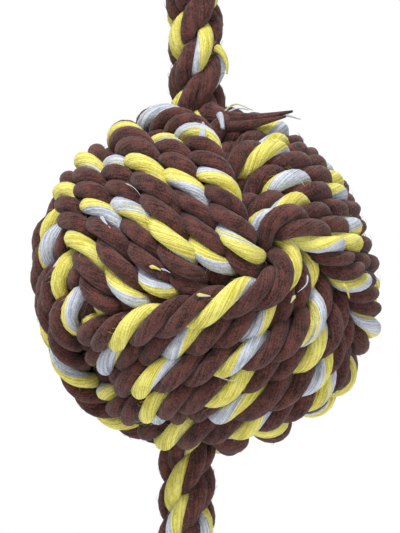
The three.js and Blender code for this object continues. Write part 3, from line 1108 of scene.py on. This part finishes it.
@dataclass
class MainRope:
    """The thick rope: three plies of three strands, knotted at both ends.

    Attributes:
        cotton: Its material.
        make: How each ply is laid.
        lots: By how much each strand's cotton differs from the rest.
        diameter: The whole rope's.
        ply_offset: From the rope's middle to a ply's.
        ply_pitch: The length of rope in which a ply comes round once.
        lay_start: The angle of the first ply at the lower knot's end.
        strand_offset: From a ply's middle to a strand's.
        knot_steps: Points on each stretch of a knot's rounded route.
        neck_steps: Points on each stretch that bends.
        step: From one ring of a strand to the next.
        hidden_half: Half the length that stays in the ball.
    """

    cotton: bpy.types.Material
    make: Make = Make(3.75, 0.28, 27.0, sides=13, hairs_per_mm=9.0, hair_length=(0.8, 2.4))
    lots: tuple[float, ...] = (0.05, 0.35, 0.65, 0.15, 0.5, 0.75, 0.25, 0.27, 0.85)
    diameter: float = 14.5
    ply_offset: float = 3.85
    ply_pitch: float = 29.6
    lay_start: float = TURN / 6
    strand_offset: float = 1.9
    knot_steps: int = 8
    neck_steps: int = 12
    step: float = 1.3
    hidden_half: float = 26.0

    def _half(self, end: RopeEnd) -> np.ndarray:
        """Draws the rope's middle from the ball to the end of a knot.

        Args:
            end: The end of the rope that has the knot.

        Returns:
            Points from the ball outwards.
        """
        share = np.linspace(0.0, 1.0, self.neck_steps)[:, None]
        near, far = end.neck
        neck = near * (1 - share) ** 2 + end.hinge * 2 * share * (1 - share) + far * share**2
        knot = soft_bends(middle_line(f"{end.side}_knot", end.hinge), self.knot_steps)
        return np.vstack([neck, knot])

    def _plies(self, middle: np.ndarray) -> Lines:
        """Lays the three plies round the rope's middle.

        Args:
            middle: The rope's middle.

        Returns:
            The plies' lines.
        """
        rope = Lines.through(middle[None])
        angle = self.lay_start + Lay.Z.value * TURN * rope.along[0] / self.ply_pitch
        return Lines.through(rope.ring(0, angle[:, None] + THIRDS, self.ply_offset).swapaxes(0, 1))

    def build(self) -> tuple[np.ndarray, list[bpy.types.Object]]:
        """Lays the plies and their strands, and splits them at the ball.

        Returns:
            Where the strands end, at the lower knot and at the upper one, and the pieces.
        """
        middle = even_steps(np.vstack([self._half(LOWER_END)[::-1], self._half(UPPER_END)]), self.step)
        plies = self._plies(middle)
        angle = np.array([self.make.facing_lay(plies, *ply) for ply in enumerate(PLY_PATCHES)])
        ropes = LaidRopes(self.make, plies, angle, self.lots)
        height = (middle - (UPPER_HINGE + LOWER_HINGE) / 2) @ THROUGH_LINE
        splits = [int(np.argmin(np.abs(height - side * self.hidden_half))) for side in (-1, 1)]
        cuts = [0, *splits, len(middle) - 1]
        pieces = []
        for name, first, last in zip(("lower_rope", "through_rope_laid", "upper_rope"), cuts[:-1], cuts[1:]):
            sweep = Sweep()
            sweep.add_laid(ropes.part(first, last), len(name))
            if name == "upper_rope":
                ROPE_TUFT.add_to(sweep)
            pieces.append(sweep.piece(name, self.cotton))
        lower, through, upper = pieces
        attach(through, Body.BALL.value)
        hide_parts("through_rope")
        self._declare(upper, UPPER_END)
        self._declare(lower, LOWER_END)
        around = [plies.ring(ply, angle[ply][:, None] + THIRDS, self.strand_offset) for ply in range(3)]
        return np.concatenate(around, axis=1)[[0, -1]], pieces

    def _declare(self, piece: bpy.types.Object, end: RopeEnd) -> None:
        """Args:
            piece: The rope's end.
            end: Which end it is.
        """
        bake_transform(piece)
        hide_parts(f"{end.side}_neck", f"{end.side}_tail", f"{end.side}_knot")


@dataclass
class FrayedEnd:
    """The loose yarns past a knot.

    Attributes:
        cotton: Its material.
        end: The end of the rope that it is on.
        seed: For the yarns' random places.
        yarns_per_strand: How many yarns each strand spreads into.
        steps: Points along each yarn.
        sides: Sides of each yarn.
        yarn_radius: A yarn's radius.
        taper: How much thinner its tip is, as a share.
        hidden_length: How far inside the rope's end it starts.
        bundle_radius: How far from its strand's middle it starts, at most.
        tip_radius: How far from the rope's line it ends, at most.
        tip_share: The least and greatest part of the tips' circle within which it ends.
        inner_share: How far an innermost strand's yarns spread, as a share of the rest.
        inner_reach: The distance from the rope's line in which that share grows by one.
        stray: How far yarns turn from their strand's side, in radians.
        shortening: How much shorter than the whole end they are, least and most.
        flare: The power by which they spread towards their tips.
        curl: How far they wave to the side.
        waves: How many waves one has, least and most.
        yellow_share: How many of a light strand's yarns are yellow. The rest are grey.
    """

    cotton: bpy.types.Material
    end: RopeEnd
    seed: int
    yarns_per_strand: int = 16
    steps: int = 19
    sides: int = 6
    yarn_radius: float = 0.85
    taper: float = 0.3
    hidden_length: float = 5.0
    bundle_radius: float = 1.7
    tip_radius: float = 16.2
    tip_share: tuple[float, float] = (0.02, 1.0)
    inner_share: float = 0.35
    inner_reach: float = 5.0
    stray: float = 0.55
    shortening: tuple[float, float] = (0.5, 9.0)
    flare: float = 1.8
    curl: float = 1.3
    waves: tuple[float, float] = (0.8, 2.2)
    yellow_share: float = 0.62

    def build(self, ends: np.ndarray) -> bpy.types.Object:
        """Spreads each strand into its yarns.

        Args:
            ends: Where the rope's strands end.

        Returns:
            The piece.
        """
        chance = np.random.default_rng(self.seed)
        line = self.end.outward
        base = self.end.hinge + line * TASSEL_START
        across = unit(np.cross(line, [0.0, 1.0, 0.0]))
        forward = np.cross(line, across)
        share = np.linspace(0.0, 1.0, self.steps)[:, None]
        paths, tones, lots = [], [], []
        for strand, end in enumerate(ends):
            away = end - base
            away -= line * (away @ line)
            side = math.atan2(away @ forward, away @ across)
            reach = self.tip_radius * min(1.0, self.inner_share + np.linalg.norm(away) / self.inner_reach)
            for _ in range(self.yarns_per_strand):
                turn = chance.uniform(0.0, TURN)
                spread = self.bundle_radius * math.sqrt(chance.uniform(0.0, 1.0))
                start = end + swing(across, forward, turn) * spread - line * self.hidden_length
                turn = side + chance.normal(0.0, self.stray)
                spread = reach * math.sqrt(chance.uniform(*self.tip_share))
                tip = base + line * (TASSEL_LENGTH - chance.uniform(*self.shortening))
                tip = tip + swing(across, forward, turn) * spread
                sway = across * chance.normal(0.0, 1.0) + forward * chance.normal(0.0, 1.0)
                wave = chance.uniform(0.0, TURN)
                outward = (tip - start) - line * ((tip - start) @ line)
                path = start + (tip - start) * share + outward * (share**self.flare - share)
                wave = wave + TURN * share * chance.uniform(*self.waves)
                paths.append(path + sway * self.curl * np.sin(wave) * share)
                tone = STRAND_TONES[strand % 3]
                if tone is Tone.YELLOW and chance.uniform() >= self.yellow_share:
                    tone = Tone.PALE
                tones.append(tone)
                lots.append(chance.uniform())
        sweep = Sweep()
        radius = self.yarn_radius * (1 - self.taper * share[:, 0] ** 3)
        sweep.add_round(Lines.through(np.array(paths)), self.sides, radius[None], tones, lots)
        piece = sweep.piece(f"{self.end.side}_frayed_end", self.cotton, slot="frayed_cotton")
        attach(piece, self.end.body.value)
        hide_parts(f"{self.end.side}_tassel")
        return piece


@dataclass(frozen=True)
class Lamp:
    """A soft square lamp that points at the ball.

    Attributes:
        name: Its name.
        offset: Its place from the ball's middle, in metres.
        size: Its side, in metres.
        power: Its power, in watts.
    """

    name: str
    offset: tuple[float, float, float]
    size: float
    power: float

    def hang(self, middle: np.ndarray) -> None:
        """Hangs the lamp.

        Args:
            middle: The ball's middle, in the frame.
        """
        data = bpy.data.lights.new(self.name, "AREA")
        data.size = self.size
        data.energy = self.power
        lamp = placed(self.name, data)
        lamp.location = middle + self.offset
        lamp.rotation_euler = Vector(-np.array(self.offset)).to_track_quat("-Z", "Y").to_euler()


@dataclass
class Studio:
    """A pale floor, soft light and the photograph's camera.

    Attributes:
        image_width: The photograph's width, in pixels.
        image_height: Its height.
        scale: Millimetres in a pixel at the ball.
        ball_column: The pixel column of the ball's middle.
        ball_row: The pixel row of the ball's middle.
        distance: From the camera to the ball's middle, in metres.
        sensor: The camera's sensor, in millimetres.
        far_limit: How far the camera sees, in metres.
        lamps: The lamps.
        sky_strength: The grey light from all sides.
        floor_colour: The floor's colour.
        floor_roughness: Its roughness.
        floor_drop: How far below the toy it lies, in metres.
        floor_half: Half its width, in metres.
    """

    image_width: int = 400
    image_height: int = 533
    scale: float = 0.2594
    ball_column: float = 208.0
    ball_row: float = 278.0
    distance: float = 1.5
    sensor: float = 36.0
    far_limit: float = 20.0
    lamps: tuple[Lamp, ...] = (
        Lamp("key_lamp", (-0.35, -0.7, 1.0), size=0.5, power=15.0),
        Lamp("fill_lamp", (0.9, -0.9, 0.25), size=0.9, power=3.5),
        Lamp("back_lamp", (0.2, 0.9, 0.7), size=0.8, power=7.0),
    )
    sky_strength: float = 0.31
    floor_colour: Colour = linear(238, 238, 238)
    floor_roughness: float = 0.8
    floor_drop: float = 0.06
    floor_half: float = 1.2

    def build(self, low_z: float) -> None:
        """Makes the floor, the lamps, the world and the camera.

        Args:
            low_z: The lowest point of the toy.
        """
        self._floor(low_z - self.floor_drop)
        middle = in_frame(np.zeros(3))
        for lamp in self.lamps:
            lamp.hang(middle)
        self._world()
        self._camera(middle)
        bpy.context.scene.view_settings.view_transform = "Standard"

    def _floor(self, height: float) -> None:
        """Lays a pale floor.

        Args:
            height: Its height, in metres.
        """
        bpy.ops.object.select_all(action="DESELECT")
        bpy.ops.mesh.primitive_plane_add(size=2 * self.floor_half, location=(0.0, 0.0, height))
        bpy.ops.object.transform_apply()
        floor = bpy.context.object
        floor.name = "floor"
        paint, shader = matte("pale_floor", self.floor_roughness)
        shader.inputs["Base Color"].default_value = self.floor_colour
        floor.data.materials.append(paint)
        floor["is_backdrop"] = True

    def _world(self) -> None:
        """Makes the world white to the camera, and a soft grey light to everything else."""
        world = bpy.data.worlds.new("studio")
        world.use_nodes = True
        bpy.context.scene.world = world
        w = Wiring(world.node_tree)
        light = world.node_tree.nodes["Background"]
        seen = w.node("ShaderNodeBackground")
        for background in (light, seen):
            background.inputs["Color"].default_value = (1.0, 1.0, 1.0, 1.0)
        light.inputs["Strength"].default_value = self.sky_strength
        path = w.node("ShaderNodeLightPath")
        shown = w.math("MAXIMUM", path.outputs["Is Camera Ray"], path.outputs["Is Glossy Ray"])
        shown = w.math("MAXIMUM", shown, path.outputs["Is Transmission Ray"])
        mixed = w.node("ShaderNodeMixShader", shown, light.outputs[0], seen.outputs[0])
        w.feed(world.node_tree.nodes["World Output"].inputs["Surface"], mixed.outputs[0])

    def _camera(self, middle: np.ndarray) -> None:
        """Sets the camera in front of the ball, as the photograph's was.

        Args:
            middle: The ball's middle, in the frame.
        """
        data = bpy.data.cameras.new("photo_camera")
        camera = placed("photo_camera", data)
        right = (self.image_width / 2 - self.ball_column) * self.scale * MM
        up = (self.ball_row - self.image_height / 2) * self.scale * MM
        camera.location = (middle[0] + right, middle[1] - self.distance, middle[2] + up)
        camera.rotation_euler = (math.pi / 2, 0.0, 0.0)
        data.sensor_width = self.sensor
        data.lens = self.sensor * self.distance / (self.image_height * self.scale * MM)
        data.clip_end = self.far_limit
        bpy.context.scene.camera = camera


def main() -> None:
    """Builds the toy on the frame's bodies, piece by piece."""
    logging.basicConfig(level=logging.INFO, format="%(name)s: %(message)s")
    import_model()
    cad_box = [list(corner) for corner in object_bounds()]
    Studio().build(cad_box[0][2])
    cotton = LaidCotton().build(FibreGroup().build())
    ends, pieces = MainRope(cotton).build()
    pieces += BallRope(cotton).build()
    pieces.append(LooseEnds(cotton).build())
    pieces.append(FrayedEnd(cotton, UPPER_END, seed=3).build(ends[1]))
    pieces.append(FrayedEnd(cotton, LOWER_END, seed=5).build(ends[0]))
    core = bpy.data.objects["core_ball"]
    core.data.materials.clear()
    core.data.materials.append(PackedCotton().build())
    for piece in (*pieces, core):
        log.info("%s: %d points", piece.name, len(piece.data.vertices))


if __name__ == "__main__":
    main()
